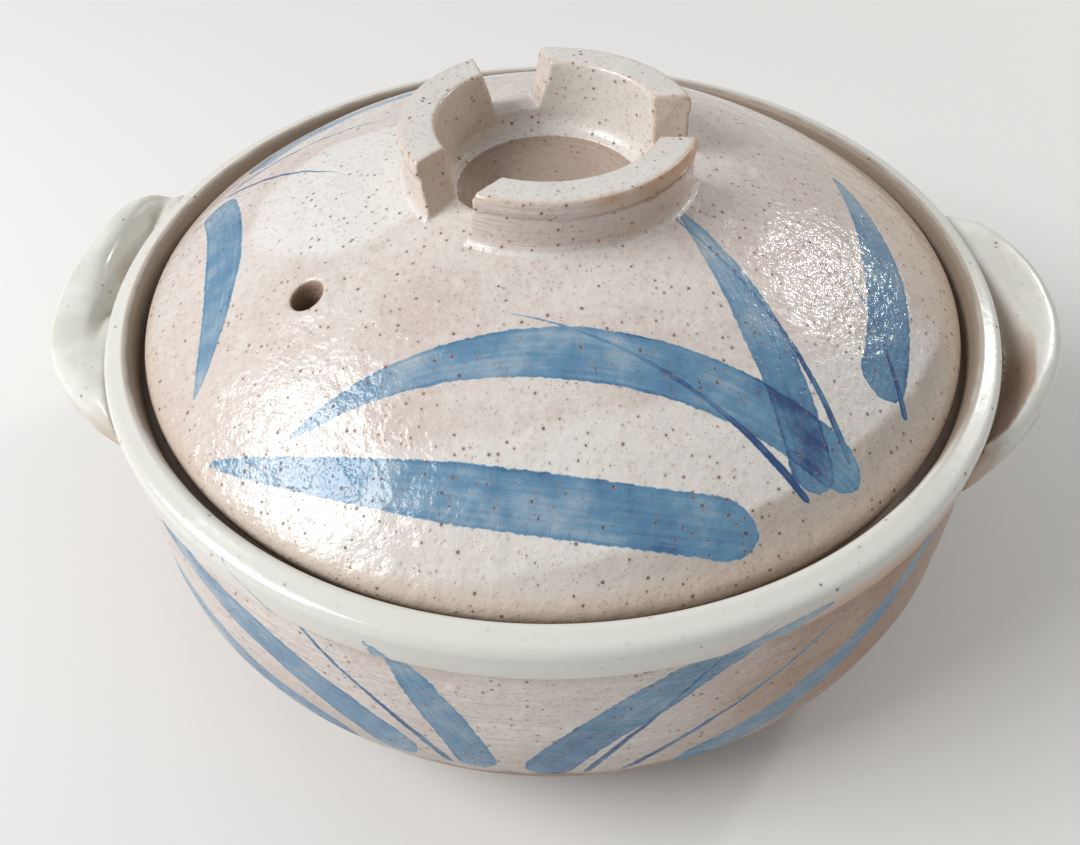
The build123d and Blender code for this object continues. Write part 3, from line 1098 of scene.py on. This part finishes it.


# %% [markdown]
# ## The bowl's coat
#
# The lip is white down to the crease, which shows as a brown line. The side turns brown towards the right,
# where the glaze thins to the clay, and the brown there is also painted shade on the side turned from the
# light. Below a wandering border the foot is bare clay. The inner side of the lip and the ledge, which the
# lid rubs against, are bare brown clay, and below the ledge the hollow of the bowl has the plain pale glaze.

# %% The bowl's coat


def bowl_coat(finish, spot):
    """The bowl: a whiter lip, bare clay at the bottom and inside the lip, brown at the right, partly painted
    shade.
    """
    x, y, z = finish.parts(spot)
    radius = finish.distance(x, y)
    facing, _, _ = finish.stored("wall")
    hollow = (1 - finish.ease(facing, -0.05, 0.1)) * finish.ease(z, 8, 9) * (1 - finish.ease(z, 84, 88))
    ground = mottled(finish, spot)
    colour = ground
    border = 39 + (finish.cloud(spot, 24, 3) - 0.5) * 18
    colour = finish.mix(0.6 * (1 - finish.ease(z - border, 2, 26)), colour, TAN)
    # brown towards the right: thin glaze, and painted shade on the side turned from the light
    side = finish.ease(x * 0.87 - y * 0.5 + (finish.cloud(spot, 20, 3) - 0.5) * 40, 96, 138)
    colour = finish.mix(side * (1 - finish.ease(z, 93, 99)) * 0.95, colour, SIDE_BROWN_AND_SHADE)
    lip = finish.ease(z, CREASE_HEIGHT - 0.5, CREASE_HEIGHT + 2)
    drift = (finish.cloud(spot, 14, 2) - 0.5) * 5
    colour = finish.mix(finish.ease(z + drift, 89, 99) * 0.85, colour, LIP_WHITE)
    wander = (finish.cloud(spot, 7, 2) - 0.5) * 2.4
    crease = 1 - finish.ease(abs(z - CREASE_HEIGHT + wander), 0.3, 1.8)
    colour = finish.mix(crease * (0.25 + 0.45 * side), colour, CREASE_BROWN)
    foot = (1 - finish.ease(z - border, -2, 2)) * (1 - hollow)
    front = 1 - finish.ease(y, -112, -56)
    inner = 1 - finish.ease(radius + (finish.cloud(spot, 12, 2) - 0.5) * 1.5 + front * 2, 134.4, 136.4)
    inner = inner * finish.ease(z, 83, 87)
    bead = finish.ease(radius, 134.9, 135.6) * (1 - finish.ease(radius, 135.9, 136.8)) * lip * (1 - front)
    warm = finish.ease(x * 0.87 - y * 0.5, 100, 132) * finish.ease(radius, 140, 142.3)
    colour = finish.mix(warm * lip * (1 - finish.ease(z, 95, 105)) * 0.8, colour, EDGE_ORANGE)
    colour = finish.mix(bead * 0.5, colour, BEAD_BROWN)
    colour = finish.mix(foot * 0.9, colour, BARE_CLAY)
    colour = finish.mix(hollow, colour, ground)
    colour = finish.mix(inner, colour, finish.mix(finish.ease(z, 98, 106), DARK_CLAY, INNER_CLAY))
    scraped = finish.cloud(finish.join(x / 22, y / 22, z / 1.5), 1.0, 3, 0.6)
    return {
        "colour": colour,
        "bare": finish.high(foot, inner * 0.7),
        "specks": 0.8 - 0.7 * lip,
        "peel": 0.8 - 0.62 * lip,
        "relief": (1 - lip) * (scraped - 0.5) * 0.7,
    }


# %% [markdown]
# ## The knob's and the handles' coats
#
# These pieces know their edges, which way every spot faces in plan, and how far it faces up. So the knob can
# have a grey top, pinkish walls with an orange belt, and orange where the glaze ran off an edge, painted
# light on its inner walls and along its foot, and painted shade on the notches' ends and on the faces turned
# to the right. The handles get painted shade in brown where they turn to the bowl and at their front ends,
# and in grey in their upward hollows.

# %% The knob's and the handles' coats


def knob_coat(finish, spot):
    """The knob: greyer on top, pinkish walls, orange along its edges and over its right side, with painted
    light and shade on its walls.
    """
    edge, facing, _ = finish.stored("edge")
    east, _, up = finish.stored("way")
    x, y, z = finish.parts(spot)
    flat = finish.ease(up, 0.7, 0.95)
    colour = finish.mix(finish.ease(facing, -0.2, 0.6) * 0.7, mottled(finish, spot), PINK)
    # painted light: the inner walls of the ring are made whiter
    colour = finish.mix((1 - finish.ease(facing, -0.9, -0.4)) * 0.5, colour, WHITE)
    colour = finish.mix(flat * 0.55, colour, KNOB_GREY)
    drift = finish.cloud(spot, 9, 2) - 0.5
    warm = finish.ease(x - y * 0.2 + drift * 30, 14, 44)
    wall = finish.ease(facing, 0.3, 0.8) * (1 - flat)
    belt = finish.ease(z + drift * 3, 153.5, 156)
    colour = finish.mix(wall * warm * (0.25 + 0.6 * belt), colour, EDGE_ORANGE)
    # painted shade: tan on the faces that turn to the right, away from the large window
    away = finish.ease(east, 0.25, 0.7) * (1 - wall)
    colour = finish.mix(away * 0.6, colour, KNOB_SHADE_TAN)
    thin = finish.ease(edge + drift * 0.9, 0.25, 0.9)
    colour = finish.mix(thin * (0.15 + 0.35 * warm), colour, EDGE_ORANGE)
    # painted shade: darker pinkish brown on the notches' end faces
    ends = (1 - finish.ease(abs(facing), 0.3, 0.6)) * (1 - finish.ease(up, 0.3, 0.6))
    colour = finish.mix(ends * 0.5, colour, KNOB_END_SHADE)
    rag = (finish.cloud(spot, 2.5, 3, 0.7) - 0.5) * 1.6
    line = 1 - finish.ease(abs(z - 155.2 + drift * 3 + rag), 0.1, 0.8)
    colour = finish.mix(line * wall * (0.2 + 0.4 * warm), colour, BELT_BROWN)
    # a whiter band along the foot: pooled glaze with a painted highlight
    colour = finish.mix(wall * (1 - finish.ease(z + drift * 2, 144.2, 146.2)) * 0.85, colour, WHITE)
    turned = finish.cloud(finish.join(x / 30, y / 30, z / 1.3), 1.0, 2)
    relief = wall * ((turned - 0.5) * 0.45 - line * 0.2)
    return {"colour": colour, "specks": 1.2, "peel": 0.5, "relief": relief}


def ear_coat(finish, spot):
    """The handles: smooth and white, orange on the lower edge, painted shade in brown towards the bowl and at
    the front ends, and in grey in the hollows.
    """
    edge, facing, _ = finish.stored("edge")
    _, _, up = finish.stored("way")
    x, y, _ = finish.parts(spot)
    colour = finish.mix(finish.ease(finish.cloud(spot, 22, 3), 0.4, 0.62), HANDLE_GREY, LIP_WHITE)
    wander = (finish.cloud(spot, 9, 2) - 0.5) * 0.7
    under = 1 - finish.ease(up + wander, -0.35, 0.2)
    colour = finish.mix(under * 0.7, colour, EDGE_ORANGE)
    # painted shade: the right handle's faces that turn to the bowl are browned
    bowl_side_shade = (1 - finish.ease(facing + wander * 0.5, -0.5, 0.0)) * (1 - finish.ease(y + wander * 12, -34, -8))
    colour = finish.mix(bowl_side_shade * finish.ease(x, 0, 1) * 0.85, colour, BARE_CLAY)
    # painted shade: darker grey in the hollows that face up
    hollow_shade = finish.ease(-1 * edge, 0.1, 0.7) * finish.ease(up, 0.0, 0.4)
    colour = finish.mix(hollow_shade * 0.6, colour, HOLLOW_SHADE_GREY)
    # painted shade: the front ends, where the handles turn down to the bowl, are darker brown, most on the
    # right
    front = (1 - finish.ease(y + wander * 8, -70, -58)) * (0.25 + 0.6 * finish.ease(x, 0, 1))
    colour = finish.mix(front, colour, ROOT_SHADE_BROWN)
    return {"colour": colour, "specks": 0.12, "peel": 0.12}


# %% [markdown]
# ## Glazing
#
# The knob is the least shiny piece and the handles are the shiniest. Both handles share one finish.

# %% Glazing
for piece, material in (
    (lid, glaze("lid_glaze", lid_coat, painted=True)),
    (bowl, glaze("bowl_glaze", bowl_coat, painted=True, gloss=0.17)),
    (knob, glaze("knob_glaze", knob_coat, gloss=0.25)),
    (left_ear, glaze("handle_glaze", ear_coat, gloss=0.15)),
):
    piece.data.materials.clear()
    piece.data.materials.append(material)
    print(piece.name, "glazed:", len(material.node_tree.nodes), "nodes")
right_ear.data.materials.clear()
right_ear.data.materials.append(left_ear.data.materials[0])

# %% [markdown]
# ## Joining the imported model
#
# Each piece rides on its body, so the lid and its knob lift together, and stands for the node whose place
# it takes.

# %% Bodies and the end
for piece, body, node, slot in (
    (bowl, "pot", "pot_body", "bowl_glaze"),
    (left_ear, "pot", "left_handle", "handle_glaze"),
    (right_ear, "pot", "right_handle", "handle_glaze"),
    (lid, "lid", "lid_dome", "lid_glaze"),
    (knob, "lid", "knob_ring", "knob_glaze"),
):
    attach(piece, body)
    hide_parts(node)
